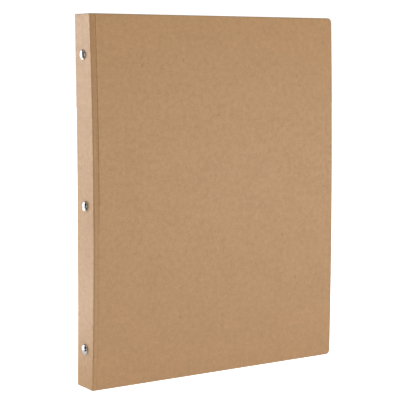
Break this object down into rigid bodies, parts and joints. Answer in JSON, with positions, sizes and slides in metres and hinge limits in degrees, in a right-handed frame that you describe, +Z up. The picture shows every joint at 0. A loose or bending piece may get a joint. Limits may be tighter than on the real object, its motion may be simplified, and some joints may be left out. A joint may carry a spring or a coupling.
{
  "type": "scrapbook album",
  "caption": "Kraft-board ring album with a riveted ring mechanism: hinged covers, paired half rings and thumb levers.",
  "frame": {"origin": "centre of the standing album's footprint, at the height of its bottom edges", "axes": "+Z up along the spine, +X from the spine to the fore edges, -Y on the front cover's side"},
  "size_m": [0.2418, 0.0754, 0.292],
  "materials": {
    "kraft_outside": "matt natural kraft paper with fine fibres and flecks",
    "kraft_inside": "matt natural kraft paper",
    "chipboard": "raw grey-brown chipboard",
    "nickel_rivets": "polished nickel plate",
    "nickel_rings": "nickel plate",
    "zinc_steel": "zinc-plated sheet steel"
  },
  "bodies": {
    "spine": {"spine_outer_facing": "kraft_outside", "spine_core": "chipboard", "spine_inner_facing": "kraft_inside", "front_outer_fold": "kraft_outside", "front_inner_fold": "kraft_inside", "back_outer_fold": "kraft_outside", "back_inner_fold": "kraft_inside", "ring_plate": "nickel_rings", "rivet_top": "nickel_rivets", "rivet_middle": "nickel_rivets", "rivet_bottom": "nickel_rivets", "spacer_top": "zinc_steel", "spacer_middle": "zinc_steel", "spacer_bottom": "zinc_steel"},
    "front_cover": {"front_outer_facing": "kraft_outside", "front_core": "chipboard", "front_inner_facing": "kraft_inside"},
    "back_cover": {"back_outer_facing": "kraft_outside", "back_core": "chipboard", "back_inner_facing": "kraft_inside"},
    "front_rings": {"front_blade": "zinc_steel", "ring_top_front_half": "nickel_rings", "ring_middle_front_half": "nickel_rings", "ring_bottom_front_half": "nickel_rings"},
    "back_rings": {"back_blade": "zinc_steel", "ring_top_back_half": "nickel_rings", "ring_middle_back_half": "nickel_rings", "ring_bottom_back_half": "nickel_rings"},
    "top_lever": {"lever_top": "nickel_rings"},
    "bottom_lever": {"lever_bottom": "nickel_rings"}
  },
  "joints": [
    {"name": "front_cover_hinge", "type": "hinge", "parent": "spine", "child": "front_cover", "pos_m": [-0.1174, -0.0365, 0.1455], "axis": [0, 0, -1], "range_deg": [0, 97], "deforming": ["front_outer_fold", "front_inner_fold"]},
    {"name": "back_cover_hinge", "type": "hinge", "parent": "spine", "child": "back_cover", "pos_m": [-0.1174, -0.0119, 0.1455], "axis": [0, 0, 1], "range_deg": [-12.8, 81.3], "deforming": ["back_outer_fold", "back_inner_fold"]},
    {"name": "front_rings_turn", "type": "hinge", "parent": "spine", "child": "front_rings", "pos_m": [-0.1144, -0.0311, 0.1455], "axis": [0, 0, -1], "range_deg": [0, 9]},
    {"name": "back_rings_turn", "type": "hinge", "parent": "spine", "child": "back_rings", "pos_m": [-0.1144, -0.0173, 0.1455], "axis": [0, 0, 1], "range_deg": [0, 9]},
    {"name": "top_lever_turn", "type": "hinge", "parent": "spine", "child": "top_lever", "pos_m": [-0.1147, -0.0242, 0.2779], "axis": [0, -1, 0], "range_deg": [0, 22]},
    {"name": "bottom_lever_turn", "type": "hinge", "parent": "spine", "child": "bottom_lever", "pos_m": [-0.1147, -0.0242, 0.0131], "axis": [0, 1, 0], "range_deg": [0, 22]}
  ],
  "couplings": [
    {"joint": "back_rings_turn", "follows": "front_rings_turn", "ratio": 1},
    {"joint": "top_lever_turn", "follows": "front_rings_turn", "ratio": 2.444},
    {"joint": "bottom_lever_turn", "follows": "front_rings_turn", "ratio": 2.444}
  ]
}
